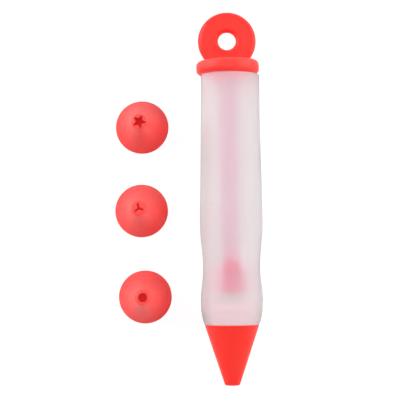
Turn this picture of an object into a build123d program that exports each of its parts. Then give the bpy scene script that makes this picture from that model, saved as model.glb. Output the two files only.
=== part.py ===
from build123d import *
import math
import os

# An icing pen lies on the table, with its nozzle towards -Y and its finger ring towards +Y.
# Three spare nozzles stand beside it on their open bases, tips up.
# The pen's pieces are turned about a line that runs from its tip, at height zero, to its ring.
# All sizes are in millimetres.

# Clearances that the pieces share
running_gap = 0.05
press_gap = 0.02
seat_gap = 0.1
cut_overrun = 1.0

# Squeeze tube: its bore, its walls outside the bore, and heights from its lower end
tube_length = 127.4
tube_bore_radius = 12.5
mouth_wall = 2.4
mouth_rounding = 0.8
belly_wall = 3.45
belly_height = 50.9
waist_wall = 2.05
waist_height = 29.0
bulge_wall = 3.3
bulge_height = 11.7
foot_wall = 1.3
groove_height = 7.0

# Nozzle, the same outside and in its socket for all four
nozzle_length = 30.5
nozzle_tip_radius = 3.7
nozzle_wall = 2.35
nozzle_tip_rounding = 1.2
nozzle_base_rounding = 0.3
socket_wall = 3.75
outlet_land = 4.0

# Outlets in the four tips
writing_outlet_radius = 1.2
round_outlet_wall = 1.4
star_point_wall = 0.35
star_notch_radius = 1.45
star_point_count = 5
star_point_rounding = 0.12
star_notch_rounding = 0.2
slot_arm_wall = 1.2
slot_arm_width = 0.8
slot_arm_count = 3

# Bends of the tube's outline, as shares of each stretch between two named places
shoulder_rise_share = 0.17
shoulder_swell_share = 0.57
shoulder_level_share = 0.41
wave_level_share = 0.40
upper_start_share = 0.18
upper_end_share = 0.38

# Coupler, the stiff insert that carries the nozzle
collar_bite = 0.8
collar_thickness = 4.0
barrel_step = 0.85
land_relief = 0.9
spigot_length = 12.0
spigot_clearance = 0.3
coupler_wall = 1.5
coupler_rounding = 0.4

# Handle: flange, finger ring and plug in one soft moulding
flange_overhang = 1.1
flange_thickness = 7.0
flange_rounding = 1.8
ring_radius = 14.8
ring_hole_radius = 4.6
ring_thickness = 7.0
ring_rounding = 2.6
ring_hole_rounding = 2.2
ring_floor = 2.3
plug_clearance = 2.4
plug_depth = 1.0
plug_taper_depth = 2.6
sleeve_wall = 1.2

# Plunger rod, from its anchor in the handle down to its tenon in the hub
rod_radius = 4.8
anchor_radius = 6.5
anchor_thickness = 2.0
anchor_rise = 2.2
tenon_radius = 2.4
tenon_length = 9.0
tenon_rounding = 0.4
rod_rounding = 0.6

# Piston hub, from the button at its foot up to the rod's shoulder
hub_top_radius = 3.8
hub_shaft_radius = 4.3
hub_shaft_length = 9.2
hub_disc_radius = 7.0
hub_disc_top_taper = 1.6
hub_disc_length = 1.2
hub_disc_foot_taper = 1.2
hub_throat_length = 2.6
hub_foot_radius = 6.2
hub_foot_taper = 1.0
hub_foot_length = 1.4
neck_radius = 4.5
button_radius = 6.4
button_thickness = 1.3
hub_rounding = 0.5

# Piston seal, a soft cup round the hub's neck
seal_web_thickness = 1.9
seal_skirt_height = 10.8
seal_skirt_wall = 1.6
seal_rounding = 0.6

# Room between the pushed in piston and the coupler
piston_stop_gap = 5.6

# Where the spare nozzles stand: across from the pen's axis, along from its tip, then apart
round_across = 44.6
round_along = 44.8
slot_across = 46.3
slot_spacing = 44.6
slot_turn = 101.0
star_across = 45.8
star_spacing = 43.5
star_turn = -4.0

# Radii that follow from the bore outwards, and from the nozzle's foot inwards
mouth_radius = tube_bore_radius + mouth_wall
belly_radius = tube_bore_radius + belly_wall
waist_radius = tube_bore_radius + waist_wall
bulge_radius = tube_bore_radius + bulge_wall
foot_radius = tube_bore_radius + foot_wall
socket_radius = foot_radius - socket_wall
land_radius = socket_radius - running_gap
barrel_radius = land_radius + barrel_step
collar_radius = tube_bore_radius + collar_bite
flange_radius = mouth_radius + flange_overhang
star_point_radius = nozzle_tip_radius - star_point_wall
slot_arm_length = nozzle_tip_radius - slot_arm_wall
round_outlet_radius = nozzle_tip_radius - round_outlet_wall

# A nozzle's fall in radius with height, its straight socket and the reach of its rounded foot
nozzle_slope = (foot_radius - nozzle_tip_radius) / nozzle_length
socket_depth = (socket_wall - nozzle_wall) / nozzle_slope
foot_inset = nozzle_base_rounding * (nozzle_slope + math.hypot(1, nozzle_slope) - 1)
nozzle_reach = foot_radius - foot_inset

# Places along the pen that follow from the sizes above
tube_foot_at = nozzle_length + seat_gap
tube_mouth_at = tube_foot_at + tube_length
flange_foot_at = tube_mouth_at + seat_gap
flange_top_at = flange_foot_at + flange_thickness
ring_centre_at = flange_foot_at + ring_floor + ring_radius
pen_length = ring_centre_at + ring_radius
collar_foot_at = tube_foot_at + groove_height
collar_top_at = collar_foot_at + collar_thickness
spigot_nose_at = tube_foot_at - spigot_length
land_foot_at = nozzle_length - socket_depth + land_relief
anchor_foot_at = flange_foot_at + anchor_rise
anchor_top_at = anchor_foot_at + anchor_thickness
button_foot_at = collar_top_at + piston_stop_gap
button_top_at = button_foot_at + button_thickness
web_foot_at = button_top_at + press_gap
web_top_at = web_foot_at + seal_web_thickness
hub_foot_at = web_top_at + press_gap
throat_foot_at = hub_foot_at + hub_foot_length + hub_foot_taper
throat_top_at = throat_foot_at + hub_throat_length
disc_foot_at = throat_top_at + hub_disc_foot_taper
disc_top_at = disc_foot_at + hub_disc_length
shaft_foot_at = disc_top_at + hub_disc_top_taper
hub_top_at = shaft_foot_at + hub_shaft_length

# The pen rests on its widest piece, and the box that holds the set is centred on X and Y
axis_height = max(flange_radius, belly_radius, bulge_radius)
spare_reach = max(star_across, slot_across, round_across) + nozzle_reach
pen_x = (spare_reach - axis_height) / 2
tip_y = -pen_length / 2
slot_along = round_along + slot_spacing
star_along = slot_along + star_spacing


def turned(corners):
    """Solid turned about Z from corners, each a radius, a height and a rounding."""
    points = [Vector(radius, 0, height) for radius, height, rounding in corners]
    roundings = [rounding for radius, height, rounding in corners]
    outline = FilletPolyline(*points, radius=roundings, close=True)
    return revolve(Face(Wire(outline.edges())), axis=Axis.Z)


def wave(radius_a, height_a, radius_b, height_b, start_share, end_share):
    """Curve from one radius to another that leaves and arrives straight along the tube."""
    span = height_b - height_a
    return Bezier(
        Vector(radius_a, 0, height_a),
        Vector(radius_a, 0, height_a + start_share * span),
        Vector(radius_b, 0, height_b - end_share * span),
        Vector(radius_b, 0, height_b),
    )


def tube_outline():
    """Outer curve of the tube from its lower end to its mouth: shoulder, bulge, waist, belly."""
    bulge_at = tube_foot_at + bulge_height
    waist_at = tube_foot_at + waist_height
    belly_at = tube_foot_at + belly_height
    swell = bulge_radius - foot_radius
    shoulder = Bezier(
        Vector(foot_radius, 0, tube_foot_at),
        Vector(
            foot_radius + shoulder_swell_share * swell,
            0,
            tube_foot_at + shoulder_rise_share * bulge_height,
        ),
        Vector(bulge_radius, 0, bulge_at - shoulder_level_share * bulge_height),
        Vector(bulge_radius, 0, bulge_at),
    )
    lower = wave(bulge_radius, bulge_at, waist_radius, waist_at, wave_level_share, wave_level_share)
    middle = wave(waist_radius, waist_at, belly_radius, belly_at, wave_level_share, wave_level_share)
    upper = wave(
        belly_radius, belly_at, mouth_radius, tube_mouth_at, upper_start_share, upper_end_share
    )
    return [shoulder, lower, middle, upper]


def squeeze_tube():
    """Soft tube with a straight bore, a groove for the coupler's collar and a throat below it."""
    throat_radius = barrel_radius + press_gap
    start = Vector(foot_radius, 0, tube_foot_at)
    end = Vector(mouth_radius, 0, tube_mouth_at)
    inner_mouth = Vector(0, 0, tube_mouth_at)
    inner_foot = Vector(0, 0, tube_foot_at)
    closing = Polyline(end, inner_mouth, inner_foot, start)
    edges = [edge for curve in tube_outline() for edge in curve.edges()] + list(closing.edges())
    body = revolve(Face(Wire(edges)), axis=Axis.Z)
    rim = body.edges().filter_by(GeomType.CIRCLE).sort_by(Axis.Z)[-1]
    body = fillet(rim, mouth_rounding)
    bore_height = tube_mouth_at + cut_overrun - collar_top_at
    bore = Pos(0, 0, collar_top_at) * turned(
        [
            (0, 0, 0),
            (tube_bore_radius, 0, 0),
            (tube_bore_radius, bore_height, 0),
            (0, bore_height, 0),
        ]
    )
    groove_radius = collar_radius + press_gap
    groove = turned(
        [
            (0, collar_foot_at - press_gap, 0),
            (groove_radius, collar_foot_at - press_gap, coupler_rounding),
            (groove_radius, collar_top_at + press_gap, coupler_rounding),
            (0, collar_top_at + press_gap, 0),
        ]
    )
    throat = turned(
        [
            (0, tube_foot_at - cut_overrun, 0),
            (throat_radius, tube_foot_at - cut_overrun, 0),
            (throat_radius, collar_foot_at, 0),
            (0, collar_foot_at, 0),
        ]
    )
    return body - bore - groove - throat


def chamber_radius(height):
    """Radius of a nozzle's inner cone at a height above its base."""
    return foot_radius - nozzle_slope * height - nozzle_wall


def nozzle_coupler():
    """Stiff bored insert: collar in the tube's groove, barrel through its throat, spigot below."""
    nose_radius = chamber_radius(nozzle_length - spigot_nose_at) - spigot_clearance
    outside = [
        (nose_radius, spigot_nose_at, coupler_rounding),
        (land_radius, land_foot_at, coupler_rounding),
        (land_radius, tube_foot_at, 0),
        (barrel_radius, tube_foot_at, 0),
        (barrel_radius, collar_foot_at, 0),
        (collar_radius, collar_foot_at, coupler_rounding),
        (collar_radius, collar_top_at, coupler_rounding),
    ]
    inside = [
        (collar_radius - coupler_wall, collar_top_at, 0),
        (land_radius - coupler_wall, collar_foot_at, coupler_rounding),
        (land_radius - coupler_wall, land_foot_at, coupler_rounding),
        (nose_radius - coupler_wall, spigot_nose_at, 0),
    ]
    return turned(outside + inside)


def nozzle(outlet, outlet_radius):
    """Hollow cone on its open base, tip up, with its socket inside and one outlet in its tip."""
    cone = turned(
        [
            (0, 0, 0),
            (foot_radius, 0, nozzle_base_rounding),
            (nozzle_tip_radius, nozzle_length, nozzle_tip_rounding),
            (0, nozzle_length, 0),
        ]
    )
    chamber_top = nozzle_length - outlet_land
    chamber = turned(
        [
            (0, -cut_overrun, 0),
            (socket_radius, -cut_overrun, 0),
            (socket_radius, socket_depth, 0),
            (chamber_radius(chamber_top), chamber_top, 0),
            (0, chamber_top, 0),
        ]
    )
    depth = outlet_land + outlet_radius
    passage = Pos(0, 0, nozzle_length - depth) * extrude(outlet, depth + cut_overrun)
    return cone - chamber - passage


def star_outlet():
    """Five pointed star with softened points and notches."""
    points = []
    for index in range(2 * star_point_count):
        radius = star_point_radius if index % 2 == 0 else star_notch_radius
        angle = math.pi * index / star_point_count
        points.append((radius * math.cos(angle), radius * math.sin(angle)))
    star = make_face(Polyline(*points, close=True))
    middle_radius = (star_point_radius + star_notch_radius) / 2
    tips = [corner for corner in star.vertices() if Vector(corner).length > middle_radius]
    star = fillet(tips, star_point_rounding)
    notches = [
        corner
        for corner in star.vertices()
        if Vector(corner).length < star_notch_radius + star_notch_rounding / 2
    ]
    return fillet(notches, star_notch_rounding)


def slot_outlet():
    """Three narrow arms that meet in the middle, each with a round end."""
    reach = slot_arm_length - slot_arm_width / 2
    arms = Circle(slot_arm_width / 2)
    for index in range(slot_arm_count):
        arm = Pos(reach / 2, 0) * Rectangle(reach, slot_arm_width)
        arm += Pos(reach, 0) * Circle(slot_arm_width / 2)
        arms += Rot(0, 0, 360 * index / slot_arm_count) * arm
    return arms


def finger_ring():
    """Thick round disc with a hole, standing on the flange in the plane of the pen."""
    half = ring_thickness / 2
    disc = turned(
        [
            (ring_hole_radius, -half, ring_hole_rounding),
            (ring_radius, -half, ring_rounding),
            (ring_radius, half, ring_rounding),
            (ring_hole_radius, half, ring_hole_rounding),
        ]
    )
    return Pos(0, 0, ring_centre_at) * Rot(90, 0, 0) * disc


def handle_ring():
    """Soft handle: plug and its taper in the tube's mouth, flange over it, finger ring on top."""
    plug_radius = tube_bore_radius - plug_clearance
    sleeve_radius = rod_radius + sleeve_wall
    base = turned(
        [
            (0, flange_foot_at - plug_taper_depth, 0),
            (sleeve_radius, flange_foot_at - plug_taper_depth, sleeve_wall / 2),
            (plug_radius, flange_foot_at - plug_depth, flange_rounding / 2),
            (plug_radius, flange_foot_at, 0),
            (flange_radius, flange_foot_at, flange_rounding),
            (flange_radius, flange_top_at, flange_rounding),
            (0, flange_top_at, 0),
        ]
    )
    pocket_radius = rod_radius + press_gap
    pocket_foot_at = flange_foot_at - plug_taper_depth - cut_overrun
    pocket = turned(
        [
            (0, pocket_foot_at, 0),
            (pocket_radius, pocket_foot_at, 0),
            (pocket_radius, anchor_foot_at - press_gap, 0),
            (anchor_radius + press_gap, anchor_foot_at - press_gap, 0),
            (anchor_radius + press_gap, anchor_top_at + press_gap, 0),
            (0, anchor_top_at + press_gap, 0),
        ]
    )
    return base + finger_ring() - pocket


def plunger_rod():
    """Stiff rod with a disc that anchors it in the handle and a tenon in the hub."""
    tenon_foot_at = hub_top_at - tenon_length
    return turned(
        [
            (0, tenon_foot_at, 0),
            (tenon_radius, tenon_foot_at, tenon_rounding),
            (tenon_radius, hub_top_at, 0),
            (rod_radius, hub_top_at, rod_rounding),
            (rod_radius, anchor_foot_at, 0),
            (anchor_radius, anchor_foot_at, 0),
            (anchor_radius, anchor_top_at, 0),
            (0, anchor_top_at, 0),
        ]
    )


def piston_hub():
    """Turned spool on the rod's tenon: shaft, disc and foot, then a neck and a button for the seal."""
    spool = turned(
        [
            (0, button_foot_at, 0),
            (button_radius, button_foot_at, hub_rounding),
            (button_radius, button_top_at, 0),
            (neck_radius, button_top_at, 0),
            (neck_radius, hub_foot_at, 0),
            (hub_foot_radius, hub_foot_at, 0),
            (hub_foot_radius, hub_foot_at + hub_foot_length, hub_rounding),
            (hub_shaft_radius, throat_foot_at, hub_rounding),
            (hub_shaft_radius, throat_top_at, hub_rounding),
            (hub_disc_radius, disc_foot_at, hub_rounding),
            (hub_disc_radius, disc_top_at, hub_rounding),
            (hub_shaft_radius, shaft_foot_at, hub_rounding),
            (hub_top_radius, hub_top_at, 0),
            (0, hub_top_at, 0),
        ]
    )
    hole_foot_at = hub_top_at - tenon_length - press_gap
    hole = turned(
        [
            (0, hole_foot_at, 0),
            (tenon_radius + press_gap, hole_foot_at, 0),
            (tenon_radius + press_gap, hub_top_at + cut_overrun, 0),
            (0, hub_top_at + cut_overrun, 0),
        ]
    )
    return spool - hole


def piston_seal():
    """Soft cup: a web clamped round the hub's neck and a skirt that runs in the tube's bore."""
    outer_radius = tube_bore_radius - running_gap
    skirt_radius = outer_radius - seal_skirt_wall
    skirt_top_at = web_foot_at + seal_skirt_height
    return turned(
        [
            (neck_radius + press_gap, web_foot_at, 0),
            (outer_radius, web_foot_at, seal_rounding),
            (outer_radius, skirt_top_at, seal_rounding),
            (skirt_radius, skirt_top_at, seal_rounding),
            (skirt_radius, web_top_at, seal_rounding),
            (neck_radius + press_gap, web_top_at, 0),
        ]
    )


def in_pen(piece):
    """Lays a piece of the pen on the table: its axis along Y, its tip at the low end."""
    return Location((pen_x, tip_y, axis_height), (-90, 0, 0)) * piece


def standing(piece, across, along, turn):
    """Stands a spare nozzle on the table beside the pen."""
    return Location((pen_x - across, tip_y + along, 0), (0, 0, turn)) * piece


def fitted(piece):
    """Puts a nozzle on the pen's spigot, with its base against the tube."""
    return in_pen(Pos(0, 0, nozzle_length) * Rot(180, 0, 0) * piece)


nodes = {
    "squeeze_tube": in_pen(squeeze_tube()),
    "nozzle_coupler": in_pen(nozzle_coupler()),
    "handle_ring": in_pen(handle_ring()),
    "plunger_rod": in_pen(plunger_rod()),
    "piston_hub": in_pen(piston_hub()),
    "piston_seal": in_pen(piston_seal()),
    "writing_nozzle": fitted(nozzle(Circle(writing_outlet_radius), writing_outlet_radius)),
    "star_nozzle": standing(
        nozzle(star_outlet(), star_point_radius), star_across, star_along, star_turn
    ),
    "three_slot_nozzle": standing(
        nozzle(slot_outlet(), slot_arm_length), slot_across, slot_along, slot_turn
    ),
    "round_nozzle": standing(
        nozzle(Circle(round_outlet_radius), round_outlet_radius), round_across, round_along, 0
    ),
}

os.makedirs("parts", exist_ok=True)
for name, solid in nodes.items():
    export_step(solid, f"parts/{name}.step")

# The places and travels that the record repeats
print("pen axis x", round(pen_x, 3), "z", axis_height, "tip y", round(tip_y, 3))
print("ring hole centre y", round(tip_y + ring_centre_at, 3))
print("travel that clears the piston from the tube", round(tube_mouth_at - button_foot_at, 3))
print("travel that clears a nozzle from the spigot", round(spigot_length, 3))
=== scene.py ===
"""Looks of the icing pen set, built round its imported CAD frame.

The pen lies along Y with its nozzle at -Y, and the spare nozzles stand at -X. Blender works in metres.
Sizes of the pieces are in millimetres, as in the part's source, and turn into metres in make_piece.
Heights along the pen count from the tube's lower end, and heights of a nozzle from its base.
"""

import math

import bmesh
import bpy
import numpy as np
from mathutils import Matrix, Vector


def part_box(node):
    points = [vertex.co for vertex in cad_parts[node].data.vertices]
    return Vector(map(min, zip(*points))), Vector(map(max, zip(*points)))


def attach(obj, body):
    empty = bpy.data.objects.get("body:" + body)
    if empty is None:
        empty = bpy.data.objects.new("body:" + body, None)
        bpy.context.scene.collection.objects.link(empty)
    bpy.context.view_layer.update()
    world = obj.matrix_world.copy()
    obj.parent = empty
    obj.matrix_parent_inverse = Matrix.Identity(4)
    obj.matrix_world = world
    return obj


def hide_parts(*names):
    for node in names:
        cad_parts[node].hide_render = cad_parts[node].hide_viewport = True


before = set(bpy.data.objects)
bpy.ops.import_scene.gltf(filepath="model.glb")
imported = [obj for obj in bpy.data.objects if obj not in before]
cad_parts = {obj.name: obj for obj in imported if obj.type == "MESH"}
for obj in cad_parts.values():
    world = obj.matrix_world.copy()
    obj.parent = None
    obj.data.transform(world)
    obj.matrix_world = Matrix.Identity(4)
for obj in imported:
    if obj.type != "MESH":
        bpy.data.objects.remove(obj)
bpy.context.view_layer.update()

MM = 0.001

# Where the pen and its pieces lie, read from the CAD
tube_low, tube_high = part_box("squeeze_tube")
rod_low, rod_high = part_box("plunger_rod")
hub_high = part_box("piston_hub")[1]
pen_axis = np.array([(tube_low.x + tube_high.x) / 2, tube_low.y, (tube_low.z + tube_high.z) / 2]) / MM

# Tube, with the places that its outer side runs through as a radius and a height
TUBE_LENGTH = 127.4
BORE_RADIUS = 12.5
FOOT_RADIUS = 13.8
BULGE = (15.8, 11.7)
WAIST = (14.55, 29.0)
BELLY = (15.95, 50.9)
MOUTH = (14.9, TUBE_LENGTH)
MOUTH_ROUNDING = 0.8
BORE_ROUNDING = 0.35
GROOVE_RADIUS = 13.32
GROOVE_FOOT = 6.98
GROOVE_TOP = 11.02
GROOVE_ROUNDING = 0.3
THROAT_RADIUS = 10.87
THROAT_ROUNDING = 0.25
FOOT_ROUNDING = 0.2
CORNER_ROUNDING = 0.1

# Bends of the tube's outer side, as shares of each stretch
SHOULDER_SWELL_SHARE = 0.57
SHOULDER_RISE_SHARE = 0.17
SHOULDER_LEVEL_SHARE = 0.59
WAVE_SHARE = 0.40
UPPER_START_SHARE = 0.18
UPPER_END_SHARE = 0.38

# Handle
FLANGE_FOOT = TUBE_LENGTH + 0.1
FLANGE_RADIUS = 16.0
FLANGE_THICKNESS = 7.0
FLANGE_ROUNDING = 1.9
FLANGE_SWELL = 0.5
RING_CENTRE = FLANGE_FOOT + 2.3 + 14.8
RING_RADIUS = 14.73
RING_HOLE = 4.6
RING_EDGE_HALF = 3.3
RING_ROUNDING = 2.6
RING_HOLE_ROUNDING = 2.2
CROWN = 0.22
CROWN_REACH = 5.0
RING_BLEND = 1.6
SLEEVE_RADIUS = 6.0
PLUG_RADIUS = 10.1
PLUG_DEPTH = 1.0
PLUG_TAPER = 2.6
PLUG_RISE = 2.0
PLUG_BLEND = 0.5
SEAM_HEIGHT = 0.06
SEAM_HALF = 0.3
SEAM_FADE = 0.8

# Plunger rod and its anchor. The handle is hollow round both, with a hair of room
ROD_RADIUS = 4.8
ROD_ROUNDING = 0.6
TENON_RADIUS = 2.4
TENON_ROUNDING = 0.4
CORE_RADIUS = 0.35
ANCHOR_RADIUS = 6.5
ANCHOR_THICKNESS = 2.0
ANCHOR_ROUNDING = 0.2
ANCHOR_RISE = 3.2
ROD_HOLLOW_RISE = 2.3
HAIR = 0.02

# Nozzle
NOZZLE_LENGTH = 30.5
TIP_RADIUS = 3.7
NOZZLE_WALL = 2.35
SOCKET_RADIUS = 10.05
OUTLET_LAND = 4.0
NOZZLE_SLOPE = (FOOT_RADIUS - TIP_RADIUS) / NOZZLE_LENGTH
FITTED_TIP_ROUNDING = 1.2
SPARE_TIP_ROUNDING = 2.0
BASE_ROUNDING = 0.3
SOCKET_ROUNDING = 0.25
LIP = 0.14
LEAST_RIM = 3.25
CONE_FOOT = 0.28
CONE_UNEVENNESS = 0.012
CONE_SEAM = 0.008

# Outlets, with the corners of the star and the slot's notches as a radius and a rounding
WRITING_RADIUS = 1.2
ROUND_RADIUS = 2.3
STAR_POINTS = 5
STAR_POINT = (4.15, 0.4)
STAR_NOTCH = (1.75, 0.2)
STAR_TURN = math.radians(-5)
SLOT_ARMS = 3
SLOT_REACH = 2.6
SLOT_HALF_WIDTH = 0.5
SLOT_END_ROUNDING = 0.48
SLOT_NOTCH = (0.577, 0.16)
SLOT_TURN = math.radians(101)

# The plunger stands a little crooked in the soft tube: the rod from the hub on, the handle a little more
LEAN_START = (hub_high.y - tube_low.y) / MM
ROD_LEAN = math.atan(1.1 / (FLANGE_FOOT - LEAN_START))
HANDLE_LEAN = math.radians(1.3)
LEAN_BEND = 5.0

# How finely the meshes are divided
MERGE_DISTANCE = 1e-7
ARC_SPACING = 0.12
ROD_SPACING = 2.0
TUBE_SPACING = 2.5
NET_SPACING = 0.45
NET_MARGIN = 1.0


# Meshes


def make_piece(name, points, faces, material, body, node):
    """One smooth mesh from points in millimetres, which stands for a CAD node and rides on its body."""
    mesh = bpy.data.meshes.new(name)
    mesh.from_pydata((np.asarray(points) * MM).tolist(), [], [list(face) for face in faces])
    work = bmesh.new()
    work.from_mesh(mesh)
    bmesh.ops.remove_doubles(work, verts=work.verts, dist=MERGE_DISTANCE)
    bmesh.ops.recalc_face_normals(work, faces=work.faces)
    work.to_mesh(mesh)
    work.free()
    mesh.shade_smooth()
    mesh.materials.append(material)
    piece = bpy.data.objects.new(name, mesh)
    bpy.context.scene.collection.objects.link(piece)
    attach(piece, body)
    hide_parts(node)


def arc_points(corner, before, after, rounding, spacing):
    """Points of the arc that rounds a corner between two neighbours, or the corner itself."""
    corner, before, after = (np.asarray(p, float) for p in (corner, before, after))
    if rounding <= 0:
        return [corner]
    to_before = (before - corner) / np.linalg.norm(before - corner)
    to_after = (after - corner) / np.linalg.norm(after - corner)
    half = math.acos(np.clip(to_before @ to_after, -1, 1)) / 2
    reach = rounding / math.tan(half)
    middle = (to_before + to_after) / np.linalg.norm(to_before + to_after)
    centre = corner + middle * rounding / math.sin(half)
    start, end = corner + to_before * reach, corner + to_after * reach
    turn = math.pi - 2 * half
    count = max(3, int(math.ceil(turn * rounding / spacing)) + 1)
    arc = []
    for share in np.linspace(0, 1, count):
        from_start = math.sin((1 - share) * turn) / math.sin(turn)
        from_end = math.sin(share * turn) / math.sin(turn)
        arc.append(centre + from_start * (start - centre) + from_end * (end - centre))
    return arc


def outline(corners, arc_spacing, line_spacing, hold=0.12):
    """Closed outline through corners, each x, y and a rounding, with even points on its straight runs.

    Each run also has a point close to either end, which keeps the run flat under smooth shading.
    """
    arcs = []
    count = len(corners)
    for index, (x, y, rounding) in enumerate(corners):
        before, after = corners[index - 1], corners[(index + 1) % count]
        arcs.append(arc_points((x, y), before[:2], after[:2], rounding, arc_spacing))
    full = []
    for index, arc in enumerate(arcs):
        full.extend(arc)
        start, end = arc[-1], arcs[(index + 1) % count][0]
        length = np.linalg.norm(end - start)
        if length < 3 * hold:
            continue
        steps = int(length // line_spacing) + 1
        shares = [hold / length, 1 - hold / length] + [step / steps for step in range(1, steps)]
        full.extend(start + share * (end - start) for share in sorted(shares))
    return np.array(full)


def bezier(a, b, c, d, count):
    """Points of one cubic curve, without its last."""
    a, b, c, d = (np.asarray(p, float) for p in (a, b, c, d))
    t = np.linspace(0, 1, count, endpoint=False)[:, None]
    return a * (1 - t) ** 3 + 3 * b * t * (1 - t) ** 2 + 3 * c * t**2 * (1 - t) + d * t**3


def turn_angles(count, dense_at=(), dense_half=0.0, dense_count=0):
    """Angles round an axis, evenly spread, with more of them near some."""
    angles = set(np.round(np.linspace(0, 2 * math.pi, count, endpoint=False), 6))
    for centre in dense_at:
        near = centre + np.linspace(-dense_half, dense_half, dense_count)
        angles = {a for a in angles if abs(math.remainder(a - centre, 2 * math.pi)) > dense_half * 1.2}
        angles |= set(np.round(np.mod(near, 2 * math.pi), 6))
    return np.array(sorted(angles))


def ring_faces(rings, around):
    """Quads between rings of equally many points, with the last ring joined to the first."""
    faces = []
    for ring in range(rings):
        low, high = ring * around, ((ring + 1) % rings) * around
        for index in range(around):
            after = (index + 1) % around
            faces.append((low + index, low + after, high + after, high + index))
    return faces


def turned(profile, angles, shape=None):
    """Points and faces of a closed profile of radius and height, turned about the pen's own axis."""
    points = []
    for radius, height in profile:
        radii = np.full(len(angles), radius)
        if shape is not None:
            radii = radii + shape(radius, height, angles)
        heights = np.full(len(angles), height)
        points.append(np.column_stack([radii * np.cos(angles), heights, radii * np.sin(angles)]))
    return np.vstack(points), ring_faces(len(profile), len(angles))


def leaning(points):
    """Shifts and tips points of the plunger, the rod by a little and the soft handle by more."""
    points = np.array(points, float)
    along = points[:, 1]
    rise = np.maximum(along - LEAN_START, 0)
    bend = np.clip((along - FLANGE_FOOT + LEAN_BEND) / LEAN_BEND, 0, 1)
    beyond = np.maximum(along - FLANGE_FOOT, 0)
    lean = np.where(rise > 0, ROD_LEAN, 0) + (HANDLE_LEAN - ROD_LEAN) * bend * bend * (3 - 2 * bend)
    shift = ROD_LEAN * rise + (HANDLE_LEAN - ROD_LEAN) * (beyond + LEAN_BEND * bend / 2)
    leant = points.copy()
    leant[:, 0] -= shift
    leant[:, 1] += points[:, 0] * lean
    return leant


# Tube and rod


def wave(low, high, start_share, end_share, count):
    """Curve between two places on the tube's side, which starts and ends straight along the tube."""
    span = high[1] - low[1]
    after_low = (low[0], low[1] + start_share * span)
    before_high = (high[0], high[1] - end_share * span)
    return bezier(low, after_low, before_high, high, count)


def tube_side():
    """Outer side of the tube, from just above its lower end to just below its rounded mouth."""
    bulge_radius, bulge_height = BULGE
    swell = bulge_radius - FOOT_RADIUS
    shoulder = bezier(
        (FOOT_RADIUS, 0),
        (FOOT_RADIUS + SHOULDER_SWELL_SHARE * swell, SHOULDER_RISE_SHARE * bulge_height),
        (bulge_radius, SHOULDER_LEVEL_SHARE * bulge_height),
        BULGE,
        24,
    )
    lower = wave(BULGE, WAIST, WAVE_SHARE, WAVE_SHARE, 24)
    middle = wave(WAIST, BELLY, WAVE_SHARE, WAVE_SHARE, 26)
    upper = wave(BELLY, MOUTH, UPPER_START_SHARE, UPPER_END_SHARE, 70)
    side = np.vstack([shoulder, lower, middle, upper])
    return side[(side[:, 1] > 0.3) & (side[:, 1] < TUBE_LENGTH - 1.0)]


def tube_inside():
    """The rest of the tube's profile: its mouth, bore, groove, throat and lower end."""
    mouth = MOUTH[0]
    profile = outline(
        [
            (mouth, TUBE_LENGTH, MOUTH_ROUNDING),
            (BORE_RADIUS, TUBE_LENGTH, BORE_ROUNDING),
            (BORE_RADIUS, GROOVE_TOP, CORNER_ROUNDING),
            (GROOVE_RADIUS, GROOVE_TOP, GROOVE_ROUNDING),
            (GROOVE_RADIUS, GROOVE_FOOT, GROOVE_ROUNDING),
            (THROAT_RADIUS, GROOVE_FOOT, CORNER_ROUNDING),
            (THROAT_RADIUS, 0, THROAT_ROUNDING),
            (FOOT_RADIUS, 0, FOOT_ROUNDING),
            (FOOT_RADIUS + 0.45, 1.0, 0),
            (mouth, TUBE_LENGTH - 2.0, 0),
        ],
        ARC_SPACING,
        TUBE_SPACING,
    )
    out, height = profile[:, 0], profile[:, 1]
    on_side = (out > BORE_RADIUS + 1.0) & (height > 0.4) & (height < TUBE_LENGTH - 0.9)
    return profile[~on_side]


def tube_wobble(radius, height, angles):
    """Faint unevenness of the soft outer wall, and its two mould lines as shallow grooves."""
    if radius < BORE_RADIUS + 1.2:
        return 0 * angles
    depth, line_depth, line_half = 0.02, 0.07, 0.16
    wobble = depth * np.sin(3 * angles + 0.11 * height) + depth * np.sin(2 * angles - 0.07 * height + 1.3)
    line = np.exp(-((np.sin(angles) * radius / line_half) ** 2))
    return wobble - 2 * depth - line_depth * line


def build_tube(material):
    profile = np.vstack([tube_side(), tube_inside()])
    angles = turn_angles(150, (0, math.pi), 0.03, 9)
    points, faces = turned(profile, angles, tube_wobble)
    points = points + pen_axis
    make_piece("frosted_tube", points, faces, material, "barrel", "squeeze_tube")


def build_rod(material):
    foot = (rod_low.y - tube_low.y) / MM
    top = (rod_high.y - tube_low.y) / MM
    anchor = top - ANCHOR_THICKNESS
    # The closed profile leaves a fine core open along the axis
    corners = [
        (CORE_RADIUS, foot, 0),
        (TENON_RADIUS, foot, TENON_ROUNDING),
        (TENON_RADIUS, LEAN_START, 0),
        (ROD_RADIUS, LEAN_START, ROD_ROUNDING),
        (ROD_RADIUS, anchor, CORNER_ROUNDING),
        (ANCHOR_RADIUS, anchor, ANCHOR_ROUNDING),
        (ANCHOR_RADIUS, top, ANCHOR_ROUNDING),
        (CORE_RADIUS, top, 0),
    ]
    points, faces = turned(outline(corners, ARC_SPACING, ROD_SPACING), turn_angles(72))
    points = leaning(points) + pen_axis
    make_piece("leaning_rod", points, faces, material, "plunger", "plunger_rod")


# The handle is one soft moulding, so its mesh is the zero surface of a distance field


def length2(a, b):
    return np.sqrt(a * a + b * b)


def rounded_slab(across, up, half_across, half_up, rounding):
    """Distance from a rounded rectangle."""
    a, b = np.abs(across) - half_across + rounding, np.abs(up) - half_up + rounding
    return length2(np.maximum(a, 0), np.maximum(b, 0)) + np.minimum(np.maximum(a, b), 0) - rounding


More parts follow.
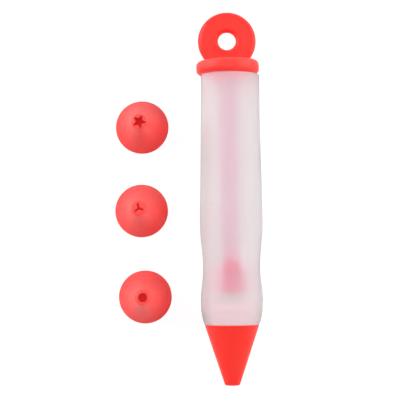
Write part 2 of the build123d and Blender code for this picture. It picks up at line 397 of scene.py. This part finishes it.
def soft_union(a, b, blend):
    h = np.clip(0.5 + 0.5 * (b - a) / blend, 0, 1)
    return b + (a - b) * h - blend * h * (1 - h)


def ring_field(x, y, z):
    """Distance from the finger ring, which is slightly crowned."""
    out = length2(x, y - RING_CENTRE)
    middle = (RING_RADIUS + RING_HOLE) / 2
    crown = CROWN * np.clip(1 - ((out - middle) / CROWN_REACH) ** 2, 0, 1)
    rounding = np.where(out > middle, RING_ROUNDING, RING_HOLE_ROUNDING)
    return rounded_slab(out - middle, z, RING_RADIUS - middle, RING_EDGE_HALF + crown, rounding)


def flange_field(out, y):
    """Distance from the flange, whose rim is slightly barrel shaped and a hair inside its solid."""
    half = FLANGE_THICKNESS / 2
    middle = FLANGE_FOOT + half
    barrel = FLANGE_SWELL * ((y - middle) / half) ** 2
    return rounded_slab(out, y - middle, FLANGE_RADIUS - HAIR - barrel, half, FLANGE_ROUNDING)


def plug_field(out, y):
    """Distance from the plug, which tapers down to the rod and reaches up into the flange."""
    foot = FLANGE_FOOT - PLUG_TAPER
    run, rise = PLUG_RADIUS - SLEEVE_RADIUS, PLUG_TAPER - PLUG_DEPTH
    taper = SLEEVE_RADIUS + run * np.clip((y - foot) / rise, 0, 1)
    steep = np.where(y < FLANGE_FOOT - PLUG_DEPTH, rise / math.hypot(rise, run), 1.0)
    plug = np.maximum((out - taper) * steep, foot - y)
    return np.maximum(plug, y - FLANGE_FOOT - PLUG_RISE)


def handle_field(p):
    """Distance from the handle's surface, below zero inside."""
    x, y, z = p[..., 0], p[..., 1], p[..., 2]
    out = length2(x, z)
    handle = soft_union(ring_field(x, y, z), flange_field(out, y), RING_BLEND)
    handle = soft_union(handle, plug_field(out, y), PLUG_BLEND)
    rod_hollow = np.maximum(out - ROD_RADIUS - HAIR, y - FLANGE_FOOT - ROD_HOLLOW_RISE)
    over_anchor = np.abs(y - FLANGE_FOOT - ANCHOR_RISE) - (ANCHOR_THICKNESS / 2 + HAIR)
    anchor_hollow = np.maximum(out - ANCHOR_RADIUS - HAIR, over_anchor)
    return np.maximum(handle, -np.minimum(rod_hollow, anchor_hollow))


def field_slope(field, p, step=0.02):
    slope = np.empty_like(p)
    for axis in range(3):
        shift = np.zeros(3)
        shift[axis] = step
        slope[:, axis] = (field(p + shift) - field(p - shift)) / (2 * step)
    return slope


def to_surface(field, p, rounds=4):
    for _ in range(rounds):
        slope = field_slope(field, p)
        steep = np.maximum((slope * slope).sum(1), 0.25)
        p = p - slope * (field(p) / steep)[:, None]
    return p


def surface_net(field, low, high, spacing, relax_rounds=6):
    """Quads on a field's zero surface: one point in each crossed cell, evened out along the surface."""
    counts = [int(math.ceil((h - l) / spacing)) + 1 for l, h in zip(low, high)]
    axes = [l + spacing * np.arange(n) for l, n in zip(low, counts)]
    grid = np.stack(np.meshgrid(*axes, indexing="ij"), -1)
    inside = field(grid) < 0
    corners = [
        inside[i : i + counts[0] - 1, j : j + counts[1] - 1, k : k + counts[2] - 1]
        for i in (0, 1)
        for j in (0, 1)
        for k in (0, 1)
    ]
    held = sum(corner.astype(int) for corner in corners)
    crossed = (held > 0) & (held < 8)
    number = np.full(crossed.shape, -1)
    number[crossed] = np.arange(crossed.sum())
    points = np.array(low) + (np.argwhere(crossed) + 0.5) * spacing
    quads = []
    for axis in range(3):
        a, b = [(1, 2), (2, 0), (0, 1)][axis]
        near = [slice(None)] * 3
        far = [slice(None)] * 3
        near[axis], far[axis] = slice(0, counts[axis] - 1), slice(1, counts[axis])
        changes = np.argwhere(inside[tuple(near)] != inside[tuple(far)])
        changes = changes[(changes[:, a] > 0) & (changes[:, b] > 0)]
        changes = changes[(changes[:, a] < counts[a] - 1) & (changes[:, b] < counts[b] - 1)]
        around = []
        for shift_a, shift_b in ((0, 0), (1, 0), (1, 1), (0, 1)):
            cell = changes.copy()
            cell[:, a] -= shift_a
            cell[:, b] -= shift_b
            around.append(number[cell[:, 0], cell[:, 1], cell[:, 2]])
        quads.append(np.stack(around, 1))
    quads = np.vstack(quads)
    points = to_surface(field, points)
    edges = np.vstack([quads[:, [i, (i + 1) % 4]] for i in range(4)])
    edges = np.unique(np.sort(edges, 1), axis=0)
    for _ in range(relax_rounds):
        total = np.zeros_like(points)
        count = np.zeros(len(points))
        for one, other in ((0, 1), (1, 0)):
            np.add.at(total, edges[:, one], points[edges[:, other]])
            np.add.at(count, edges[:, one], 1)
        mean = total / np.maximum(count, 1)[:, None]
        points = to_surface(field, points + 0.5 * (mean - points), 2)
    return points, quads


def build_handle(material):
    reach = FLANGE_RADIUS + NET_MARGIN
    low = (-reach, FLANGE_FOOT - PLUG_TAPER - NET_MARGIN, -reach)
    high = (reach, RING_CENTRE + RING_RADIUS + NET_MARGIN, reach)
    points, quads = surface_net(handle_field, low, high, NET_SPACING)
    # The mould's parting line runs round the ring and the flange at half height
    seam = SEAM_HEIGHT * np.exp(-((points[:, 2] / SEAM_HALF) ** 2))
    free = np.clip((points[:, 1] - FLANGE_FOOT - SEAM_FADE) / SEAM_FADE, 0, 1)
    points = points + field_slope(handle_field, points) * (seam * free)[:, None]
    leant = leaning(points)
    # The soft flange keeps flat on the tube's mouth, and only its rim beyond the mouth follows the lean
    seat_inner, seat_outer, seat_fade = 10.6, 15.9, 0.8
    out = length2(leant[:, 0], leant[:, 2])
    seated = np.clip((seat_outer - out) / seat_fade, 0, 1) * (out > seat_inner)
    seated = seated * (points[:, 1] < FLANGE_FOOT + 2.0) * (points[:, 1] > FLANGE_FOOT - 0.2)
    level = points[:, 1] * seated + leant[:, 1] * (1 - seated)
    leant[:, 1] = np.maximum(leant[:, 1], level)
    points = leant + pen_axis
    make_piece("soft_handle", points, quads, material, "plunger", "handle_ring")


# Nozzles


def outlet_points(shape, angles):
    """Points of a closed outline at given angles. It meets each ray from the middle once."""
    bearing = np.mod(np.arctan2(shape[:, 1], shape[:, 0]), 2 * math.pi)
    order = np.argsort(bearing)
    shape, bearing = shape[order], bearing[order]
    after = np.roll(shape, -1, axis=0)
    spot = np.searchsorted(bearing, angles, side="right") - 1
    a, b = shape[spot], after[spot]
    ray = np.column_stack([np.cos(angles), np.sin(angles)])
    run = b - a
    below = ray[:, 0] * run[:, 1] - ray[:, 1] * run[:, 0]
    reach = (a[:, 0] * run[:, 1] - a[:, 1] * run[:, 0]) / np.where(np.abs(below) < 1e-12, 1e-12, below)
    return ray * reach[:, None]


def star_shape():
    corners = []
    for index in range(2 * STAR_POINTS):
        radius, rounding = STAR_POINT if index % 2 == 0 else STAR_NOTCH
        angle = math.pi * index / STAR_POINTS + STAR_TURN
        corners.append((radius * math.cos(angle), radius * math.sin(angle), rounding))
    return outline(corners, 0.04, 0.18, 0.05)


def slot_shape():
    notch_radius, notch_rounding = SLOT_NOTCH
    corners = []
    for index in range(SLOT_ARMS):
        angle = 2 * math.pi * index / SLOT_ARMS + SLOT_TURN
        along = np.array([math.cos(angle), math.sin(angle)])
        side = np.array([-along[1], along[0]])
        for across in (-SLOT_HALF_WIDTH, SLOT_HALF_WIDTH):
            corners.append((*(SLOT_REACH * along + across * side), SLOT_END_ROUNDING))
        notch = angle + math.pi / SLOT_ARMS
        corners.append((notch_radius * math.cos(notch), notch_radius * math.sin(notch), notch_rounding))
    return outline(corners, 0.04, 0.14, 0.04)


def round_shape(radius):
    angles = np.linspace(0, 2 * math.pi, 96, endpoint=False)
    return np.column_stack([radius * np.cos(angles), radius * np.sin(angles)])


def cone_radius(height):
    return FOOT_RADIUS - NOZZLE_SLOPE * height


def tip_rounding_span(rounding):
    """Distances from the nozzle's axis at which the rounding of its tip starts and ends."""
    half = (math.pi / 2 + math.atan(NOZZLE_SLOPE)) / 2
    start = TIP_RADIUS - rounding / math.tan(half)
    return start, start + rounding * math.cos(math.atan(NOZZLE_SLOPE))


def top_height(out, rounding):
    """Height of the nozzle's outer surface over its base, at a distance from its axis near the tip."""
    start, end = tip_rounding_span(rounding)
    over = np.clip(out - start, 0, end - start)
    return NOZZLE_LENGTH - rounding + np.sqrt(rounding**2 - over**2)


def nozzle_angles(shape):
    """Angles of a nozzle's rings: at its outlet's points, evenly between them, and close by its seams."""
    bearing = np.mod(np.arctan2(shape[:, 1], shape[:, 0]), 2 * math.pi)
    even = np.linspace(0, 2 * math.pi, 120, endpoint=False)
    seams = [centre + np.linspace(-0.025, 0.025, 7) for centre in (math.pi / 2, 3 * math.pi / 2)]
    angles = np.unique(np.round(np.concatenate([bearing, even, *seams]), 4))
    gaps = np.diff(np.append(angles, angles[0] + 2 * math.pi))
    return angles[gaps > 0.0015]


def nozzle_mesh(shape, rounding):
    """Points and faces of one nozzle, tip up, with a softened outlet and a thin parting line."""
    angles = nozzle_angles(shape)
    edge = outlet_points(shape, angles)
    ray = np.column_stack([np.cos(angles), np.sin(angles)])
    around = np.roll(edge, -1, axis=0) - np.roll(edge, 1, axis=0)
    outward = np.column_stack([around[:, 1], -around[:, 0]])
    outward /= np.linalg.norm(outward, axis=1)[:, None]
    widest = np.linalg.norm(edge, axis=1).max()
    # The chamber's ceiling is wider than the outlet
    chamber_at = NOZZLE_LENGTH - OUTLET_LAND
    ceiling = cone_radius(chamber_at) - NOZZLE_WALL
    if ceiling < widest + 0.1:
        ceiling = widest + 0.1
        chamber_at = (FOOT_RADIUS - NOZZLE_WALL - ceiling) / NOZZLE_SLOPE
    socket_depth = (FOOT_RADIUS - NOZZLE_WALL - SOCKET_RADIUS) / NOZZLE_SLOPE
    rings = []

    def add(flat, height):
        heights = np.broadcast_to(height, (len(flat),))
        rings.append(np.column_stack([flat, heights]))

    # The outlet's rounded lip, then the flat of the tip and its rounding
    for share in np.linspace(0, 1, 4):
        turn = share * math.pi / 2
        flat = edge + outward * LIP * (1 - math.cos(turn))
        add(flat, top_height(length2(flat[:, 0], flat[:, 1]), rounding) - LIP * (1 - math.sin(turn)))
    lip_edge = edge + outward * LIP
    rim = max(LEAST_RIM, widest + 0.3)
    for share in (0.12, 0.4, 0.7, 1.0):
        flat = lip_edge + share * (ray * rim - lip_edge)
        add(flat, top_height(length2(flat[:, 0], flat[:, 1]), rounding))
    last = tip_rounding_span(rounding)[1]
    for out in np.linspace(rim, last, 6)[1:]:
        add(ray * out, top_height(out, rounding))
    # The cone, slightly uneven, with its parting line
    start = top_height(last, rounding)
    seam = CONE_SEAM * np.exp(-((np.cos(angles) * 60) ** 2))
    for share in np.concatenate([[0.006], np.linspace(0.02, 0.98, 34), [0.99]]):
        height = start * (1 - share) + CONE_FOOT * share
        wobble = CONE_UNEVENNESS * (np.sin(3 * angles + 0.4 * height) - 1) + seam
        add(ray * (cone_radius(height) + wobble)[:, None], height)
    # The base, then the socket and the chamber, up to the outlet's own walls
    base = outline(
        [
            (FOOT_RADIUS - 0.3, 0.9, 0),
            (FOOT_RADIUS, 0, BASE_ROUNDING),
            (SOCKET_RADIUS, 0, SOCKET_ROUNDING),
            (SOCKET_RADIUS, 0.9, 0),
        ],
        0.08,
        0.8,
    )
    for radius, height in base[base[:, 1] < 0.26]:
        add(ray * radius, height)
    add(ray * SOCKET_RADIUS, 0.45)
    add(ray * SOCKET_RADIUS, socket_depth - 0.15)
    for height in np.linspace(socket_depth + 0.15, chamber_at - 0.25, 12):
        add(ray * (cone_radius(height) - NOZZLE_WALL), height)
    add(ray * (ceiling - 0.1), chamber_at + 0.02)
    for share in (0.5, 0.95):
        add((1 - share) * ray * ceiling + share * (edge + outward * 0.05), chamber_at + 0.1)
    for height in (chamber_at + 0.3, NOZZLE_LENGTH - 2.0, NOZZLE_LENGTH - 0.6):
        add(edge, height)
    return np.vstack(rings), ring_faces(len(rings), len(angles))


def build_fitted_nozzle(material):
    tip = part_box("writing_nozzle")[0].y / MM
    points, faces = nozzle_mesh(round_shape(WRITING_RADIUS), FITTED_TIP_ROUNDING)
    across, up, height = points.T
    points = np.column_stack([across + pen_axis[0], tip + NOZZLE_LENGTH - height, up + pen_axis[2]])
    make_piece("fine_nozzle", points, faces, material, "fitted_nozzle", "writing_nozzle")


def build_spare_nozzles(material):
    for node, name, body, shape in (
        ("star_nozzle", "star_cone", "spare_star", star_shape()),
        ("three_slot_nozzle", "slot_cone", "spare_three_slot", slot_shape()),
        ("round_nozzle", "round_cone", "spare_round", round_shape(ROUND_RADIUS)),
    ):
        low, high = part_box(node)
        centre = np.array([(low.x + high.x) / 2, (low.y + high.y) / 2, low.z]) / MM
        points, faces = nozzle_mesh(shape, SPARE_TIP_ROUNDING)
        make_piece(name, points + centre, faces, material, body, node)


# Nodes that the materials share


def new_material(name):
    material = bpy.data.materials.new(name)
    material.use_nodes = True
    tree = material.node_tree
    shader = next(node for node in tree.nodes if node.type == "BSDF_PRINCIPLED")
    return material, tree, shader


def coordinate(tree, kind, axis):
    """One coordinate of the shaded point. Generated ones count through the piece's own box, from 0 to 1."""
    place = tree.nodes.new("ShaderNodeTexCoord")
    split = tree.nodes.new("ShaderNodeSeparateXYZ")
    tree.links.new(place.outputs[kind], split.inputs[0])
    return split.outputs[axis]


def noise(tree, scale, detail=2.0):
    """Noise over the object's own coordinates. A scale of 1000 has features of about a millimetre."""
    node = tree.nodes.new("ShaderNodeTexNoise")
    node.inputs["Scale"].default_value = scale
    node.inputs["Detail"].default_value = detail
    node.inputs["Roughness"].default_value = 0.5
    place = tree.nodes.new("ShaderNodeTexCoord")
    tree.links.new(place.outputs["Object"], node.inputs["Vector"])
    return node.outputs["Fac"]


def ramp(tree, source, low, high, start=0.3, end=0.7):
    """Runs from low to high while its source goes from start to end, which by default suit a noise."""
    node = tree.nodes.new("ShaderNodeMapRange")
    node.inputs["From Min"].default_value = start
    node.inputs["From Max"].default_value = end
    node.inputs["To Min"].default_value = low
    node.inputs["To Max"].default_value = high
    tree.links.new(source, node.inputs["Value"])
    return node.outputs["Result"]


def combined(tree, operation, first, second):
    """Two values combined by a math operation."""
    node = tree.nodes.new("ShaderNodeMath")
    node.operation = operation
    tree.links.new(first, node.inputs[0])
    tree.links.new(second, node.inputs[1])
    return node.outputs[0]


def seen_by(tree, *kinds):
    """One for rays of the given kinds, and zero for all others."""
    path = tree.nodes.new("ShaderNodeLightPath")
    seen = path.outputs[kinds[0]]
    for kind in kinds[1:]:
        seen = combined(tree, "MAXIMUM", seen, path.outputs[kind])
    return seen


def mixed(tree, factor, first, second):
    """Mix of two colours, each of them a node's output or three values."""
    node = tree.nodes.new("ShaderNodeMix")
    node.data_type = "RGBA"
    tree.links.new(factor, node.inputs["Factor"])
    for name, colour in (("A", first), ("B", second)):
        if isinstance(colour, tuple):
            node.inputs[name].default_value = (*colour, 1)
        else:
            tree.links.new(colour, node.inputs[name])
    return node.outputs["Result"]


def clouded(tree, scale, detail, tones):
    """Two tones of one colour, mixed by a noise."""
    return mixed(tree, ramp(tree, noise(tree, scale, detail), 0, 1), *tones)


def faded(tree, tint, fades):
    """Runs a tint to other colours along a piece, each with the shares of the way that it comes in over.

    The way runs along the pen, from the piece's nozzle end to its handle end.
    """
    for colour, start, end in fades:
        tint = mixed(tree, ramp(tree, coordinate(tree, "Generated", "Y"), 0, 1, start, end), tint, colour)
    return tint


def bump(tree, source, distance, strength, under=None):
    node = tree.nodes.new("ShaderNodeBump")
    node.inputs["Strength"].default_value = strength
    node.inputs["Distance"].default_value = distance
    tree.links.new(source, node.inputs["Height"])
    if under is not None:
        tree.links.new(under, node.inputs["Normal"])
    return node.outputs["Normal"]


def set_values(shader, values):
    for socket, value in values.items():
        shader.inputs[socket].default_value = value


# Materials, with each colour as two tones

# One red silicone in three brightnesses: the fitted nozzle's coral is a darker copy, as painted shade, the
# spares' coral a brighter copy, as painted light, and the handle's red lies between them
CORAL = ((0.905, 0.037, 0.025), (0.885, 0.032, 0.021))
LIT_SPARE_CORAL = ((1.0, 0.028, 0.022), (0.98, 0.024, 0.019))
TIP_HIGHLIGHT_CORAL = ((1.0, 0.088, 0.078), (0.98, 0.078, 0.069))
HANDLE_CORAL = ((0.955, 0.041, 0.031), (0.935, 0.035, 0.026))
FROST = ((0.915, 0.89, 0.895), (0.93, 0.91, 0.915))
ROSE = ((0.64, 0.002, 0.11), (0.60, 0.002, 0.10))
BLUSH = ((0.50, 0.27, 0.36), (0.475, 0.25, 0.335))
MILKY = ((0.85, 0.62, 0.67), (0.88, 0.65, 0.70))
SEAL_VEIL = ((0.99, 0.23, 0.45), (0.995, 0.27, 0.48))
SEAL_SOLID = ((0.97, 0.72, 0.79), (0.98, 0.76, 0.82))

# The heights in metres over which a painted highlight pales a standing nozzle's coral towards its tip
HIGHLIGHT_FROM, HIGHLIGHT_TO = 0.008, 0.030

# The handle's plug is painted paler and rosier, as painted light in the shade under the flange, its flange
# has a painted highlight towards its upper edge, and its ring has its own red again
HANDLE_PAINTED_LIGHT = (
    ((0.93, 0.25, 0.40), 0.082, 0.068),
    ((1.0, 0.075, 0.062), 0.13, 0.25),
    ((0.945, 0.038, 0.028), 0.278, 0.292),
)

# The hub's foot is painted brighter, as painted light against the shade that falls below it, and towards
# its top it nears the rod's colour
HUB_PAINTED_FOOT_LIGHT_AND_FADE = (((0.9, 0.002, 0.13), 0.16, 0.04), ((0.50, 0.25, 0.34), 0.58, 1.05))


def red_silicone(name, tones, fades=(), painted_tip_highlight=False):
    """Satin silicone, which can fade along the pen, and can carry a painted highlight that pales it towards
    a standing nozzle's tip.
    """
    material, tree, shader = new_material(name)
    tint = faded(tree, clouded(tree, 140, 3.0, tones), fades)
    # Painted highlight: a paler coral comes in towards the tip, standing in for the overhead light that the
    # tip catches
    if painted_tip_highlight:
        height = ramp(tree, coordinate(tree, "Object", "Z"), 0, 1, HIGHLIGHT_FROM, HIGHLIGHT_TO)
        tint = mixed(tree, height, tint, clouded(tree, 140, 3.0, TIP_HIGHLIGHT_CORAL))
    tree.links.new(tint, shader.inputs["Base Color"])
    tree.links.new(ramp(tree, noise(tree, 420, 4.0), 0.36, 0.44), shader.inputs["Roughness"])
    waves = bump(tree, noise(tree, 260), 0.00006, 0.25)
    grain = bump(tree, noise(tree, 5200), 0.000012, 0.5, waves)
    tree.links.new(grain, shader.inputs["Normal"])
    set_values(
        shader,
        {
            "IOR": 1.41,
            "Specular IOR Level": 0.25,
            "Sheen Weight": 0.02,
            "Sheen Roughness": 0.5,
            "Subsurface Weight": 0.8,
            "Subsurface Radius": (1.0, 0.14, 0.1),
            "Subsurface Scale": 0.001,
        },
    )
    return material


def frosted_silicone():
    """Translucent silicone. Its low index lets the rod and the hub show softly through the wall."""
    material, tree, shader = new_material("frosted_silicone")
    tree.links.new(clouded(tree, 90, 3.0, FROST), shader.inputs["Base Color"])
    tree.links.new(ramp(tree, noise(tree, 330, 4.0), 0.60, 0.68), shader.inputs["Roughness"])
    waves = bump(tree, noise(tree, 240), 0.00005, 0.25)
    grain = bump(tree, noise(tree, 4200), 0.000012, 0.5, waves)
    tree.links.new(grain, shader.inputs["Normal"])
    set_values(
        shader,
        {"IOR": 1.19, "Transmission Weight": 0.86, "Sheen Weight": 0.1, "Sheen Roughness": 0.3},
    )
    return material


def moulded_plastic(name, tones, fades=(), gloss=0.5):
    """Smooth plastic, in one colour or fading to others along its piece."""
    material, tree, shader = new_material(name)
    tree.links.new(faded(tree, clouded(tree, 200, 2.0, tones), fades), shader.inputs["Base Color"])
    tree.links.new(ramp(tree, noise(tree, 600, 3.0), 0.26, 0.36), shader.inputs["Roughness"])
    tree.links.new(bump(tree, noise(tree, 1800), 0.00002, 0.3), shader.inputs["Normal"])
    set_values(shader, {"IOR": 1.49, "Specular IOR Level": gloss})
    return material


def natural_plastic():
    """Milky plastic. Light from inside the tube partly passes it, so that its bore isn't a black hole."""
    material, tree, shader = new_material("natural_plastic")
    tree.links.new(ramp(tree, seen_by(tree, "Is Camera Ray"), 0.48, 1.0, 0, 1), shader.inputs["Alpha"])
    tree.links.new(clouded(tree, 160, 2.0, MILKY), shader.inputs["Base Color"])
    tree.links.new(ramp(tree, noise(tree, 500, 3.0), 0.26, 0.34), shader.inputs["Roughness"])
    tree.links.new(bump(tree, noise(tree, 1500), 0.00002, 0.3), shader.inputs["Normal"])
    set_values(shader, {"IOR": 1.49, "Transmission Weight": 0.1})
    return material


def seal_silicone():
    """Clear pink silicone. Through the tube it is a thin veil, and in the open the solid that it is.

    Its web is seen edge on, so the veil is denser there and shows as a line across the tube.
    """
    material, tree, shader = new_material("seal_silicone")
    direct = seen_by(tree, "Is Camera Ray")
    veil_tint = clouded(tree, 180, 2.0, SEAL_VEIL)
    solid_tint = clouded(tree, 180, 2.0, SEAL_SOLID)
    tree.links.new(mixed(tree, direct, veil_tint, solid_tint), shader.inputs["Base Color"])
    veil = ramp(tree, coordinate(tree, "Generated", "Y"), 0.28, 0.065, 0.15, 0.19)
    tree.links.new(combined(tree, "MAXIMUM", direct, veil), shader.inputs["Alpha"])
    tree.links.new(ramp(tree, direct, 0.0, 0.55, 0, 1), shader.inputs["Transmission Weight"])
    tree.links.new(ramp(tree, noise(tree, 500, 3.0), 0.20, 0.28), shader.inputs["Roughness"])
    tree.links.new(bump(tree, noise(tree, 3000), 0.00001, 0.4), shader.inputs["Normal"])
    set_values(shader, {"IOR": 1.41})
    return material


# Table


def from_nearest_spare(tree):
    """Distance in metres of the shaded point from the middle of the nearest standing nozzle's base."""
    place = tree.nodes.new("ShaderNodeNewGeometry")
    nearest = None
    for node in ("star_nozzle", "three_slot_nozzle", "round_nozzle"):
        low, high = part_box(node)
        away = tree.nodes.new("ShaderNodeVectorMath")
        away.operation = "DISTANCE"
        away.inputs[1].default_value = ((low.x + high.x) / 2, (low.y + high.y) / 2, 0)
        tree.links.new(place.outputs["Position"], away.inputs[0])
        distance = away.outputs["Value"]
        nearest = distance if nearest is None else combined(tree, "MINIMUM", nearest, distance)
    return nearest


def added_shaders(tree, first, second):
    node = tree.nodes.new("ShaderNodeAddShader")
    tree.links.new(first, node.inputs[0])
    tree.links.new(second, node.inputs[1])
    return node.outputs[0]


def mixed_shaders(tree, factor, first, second):
    node = tree.nodes.new("ShaderNodeMixShader")
    tree.links.new(factor, node.inputs[0])
    tree.links.new(first, node.inputs[1])
    tree.links.new(second, node.inputs[2])
    return node.outputs[0]


def table_material():
    """White table. What a camera, glossy or transmission ray sees is mostly the backdrop's own white."""
    material = bpy.data.materials.new("white_table")
    material.use_nodes = True
    tree = material.node_tree
    tree.nodes.clear()
    camera = seen_by(tree, "Is Camera Ray")
    glossy = seen_by(tree, "Is Glossy Ray")

    # The bare table: a matt white that lights the object, and a dim satin for the camera
    matt = tree.nodes.new("ShaderNodeBsdfDiffuse")
    matt.inputs["Color"].default_value = (0.8, 0.8, 0.8, 1)
    satin = tree.nodes.new("ShaderNodeBsdfGlossy")
    satin.inputs["Color"].default_value = (0.25, 0.25, 0.25, 1)
    satin.inputs["Roughness"].default_value = 0.8
    plain = mixed_shaders(tree, camera, matt.outputs[0], satin.outputs[0])

    # The backdrop's white with a little of the table's shading. Gloss on the object shows only the shading,
    # and more of it, so the object's shadow shows there as well
    shade = tree.nodes.new("ShaderNodeBsdfDiffuse")
    tree.links.new(ramp(tree, glossy, 0.15, 0.8, 0, 1), shade.inputs["Color"])
    glow = tree.nodes.new("ShaderNodeEmission")
    tree.links.new(ramp(tree, glossy, 0.9, 0.0, 0, 1), glow.inputs["Strength"])
    shown = added_shaders(tree, shade.outputs[0], glow.outputs[0])

    # Shut in under a nozzle the table is bare, and a warm glow stands in for light through the red walls
    shut = tree.nodes.new("ShaderNodeAmbientOcclusion")
    shut.inputs["Distance"].default_value = 0.04
    shut.samples = 6
    shut_from, shut_to = 0.2, 0.4
    under_to, open_from = 0.0095, 0.0100
    nearest = from_nearest_spare(tree)
    lit = ramp(tree, shut.outputs["AO"], 0, 1, shut_from, shut_to)
    outside = ramp(tree, nearest, 0, 1, under_to, open_from)
    open_table = combined(tree, "MAXIMUM", lit, outside)
    dim = ramp(tree, shut.outputs["AO"], 1, 0, shut_from, shut_to)
    under = ramp(tree, nearest, 0.52, 0.0, under_to, open_from)
    warm = tree.nodes.new("ShaderNodeEmission")
    warm.inputs["Color"].default_value = (1.0, 0.02, 0.018, 1)
    tree.links.new(combined(tree, "MULTIPLY", under, dim), warm.inputs["Strength"])
    bare = added_shaders(tree, plain, warm.outputs[0])

    seen = combined(tree, "MULTIPLY", combined(tree, "MAXIMUM", camera, glossy), open_table)
    seen = combined(tree, "MAXIMUM", seen, seen_by(tree, "Is Transmission Ray"))
    out = tree.nodes.new("ShaderNodeOutputMaterial")
    tree.links.new(mixed_shaders(tree, seen, bare, shown), out.inputs["Surface"])
    return material


def build_table():
    """Wide flat table, a hair below the pieces that stand on it."""
    half, gap = 3.0, 0.00005
    corners = [(-half, -half, 0), (half, -half, 0), (half, half, 0), (-half, half, 0)]
    mesh = bpy.data.meshes.new("table")
    mesh.from_pydata(corners, [], [(0, 1, 2, 3)])
    mesh.materials.append(table_material())
    table = bpy.data.objects.new("table", mesh)
    table.location.z = -gap
    bpy.context.scene.collection.objects.link(table)


# Light and camera


def build_sky(strength):
    """White surroundings, which light the object evenly and look white themselves."""
    world = bpy.data.worlds.new("studio")
    world.use_nodes = True
    tree = world.node_tree
    background = next(node for node in tree.nodes if node.type == "BACKGROUND")
    seen = seen_by(tree, "Is Camera Ray", "Is Glossy Ray", "Is Transmission Ray")
    tree.links.new(ramp(tree, seen, strength, 1.0, 0, 1), background.inputs["Strength"])
    background.inputs["Color"].default_value = (1, 1, 1, 1)
    bpy.context.scene.world = world


def add_lamp(name, place, size, share):
    """Soft square lamp that faces the set and gives a share of plain level light to a face turned to it."""
    to_set = np.array([0.0, 0.0, 0.015]) - np.array(place)
    data = bpy.data.lights.new(name, "AREA")
    data.shape = "SQUARE"
    data.size = size
    data.energy = share * math.pi**2 * np.linalg.norm(to_set) ** 2
    lamp = bpy.data.objects.new(name, data)
    lamp.location = place
    lamp.rotation_euler = Vector(to_set).to_track_quat("-Z", "Y").to_euler()
    bpy.context.scene.collection.objects.link(lamp)


def build_camera():
    """Camera above the set, with its focal length as measured in pixels of the frame."""
    sensor_width, focal_pixels, frame_pixels = 36.0, 1520.83, 400
    data = bpy.data.cameras.new("camera")
    data.sensor_fit = "HORIZONTAL"
    data.sensor_width = sensor_width
    data.lens = sensor_width * focal_pixels / frame_pixels
    data.clip_start = 0.01
    data.clip_end = 20.0
    camera = bpy.data.objects.new("camera", data)
    camera.location = (0.01503, -0.04152, 0.78937)
    camera.rotation_euler = (0.05234, 0.01177, -0.00706)
    bpy.context.scene.collection.objects.link(camera)
    bpy.context.scene.camera = camera


# The fitted nozzle gets the darker red with painted shade, the spares the brighter red with painted light
# and a painted tip highlight
red = red_silicone("red_silicone", CORAL)
tip_red = red_silicone("red_silicone_pale_tip", LIT_SPARE_CORAL, painted_tip_highlight=True)
handle_red = red_silicone("red_silicone_handle", HANDLE_CORAL, fades=HANDLE_PAINTED_LIGHT)
frosted = frosted_silicone()
rose = moulded_plastic("rose_plastic", ROSE, fades=HUB_PAINTED_FOOT_LIGHT_AND_FADE, gloss=0.2)
blush = moulded_plastic("blush_plastic", BLUSH)
natural = natural_plastic()
pink = seal_silicone()

build_tube(frosted)
build_rod(blush)
build_handle(handle_red)
build_fitted_nozzle(red)
build_spare_nozzles(tip_red)

for node, material in (("piston_hub", rose), ("piston_seal", pink), ("nozzle_coupler", natural)):
    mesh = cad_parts[node].data
    mesh.materials.clear()
    mesh.materials.append(material)

build_table()
build_sky(0.44)
for name, place, lamp_size, share in (
    ("key", (-1.0, 0.42, 0.51), 0.8, 0.92),
    ("fill", (1.08, 0.20, 0.51), 0.9, 0.72),
    ("low", (0.3, -1.05, 0.5), 1.2, 0.16),
    ("top", (0.0, 0.08, 1.3), 0.3, 0.12),
):
    add_lamp(name, place, lamp_size, share)
build_camera()

bpy.context.scene.view_settings.view_transform = "Standard"
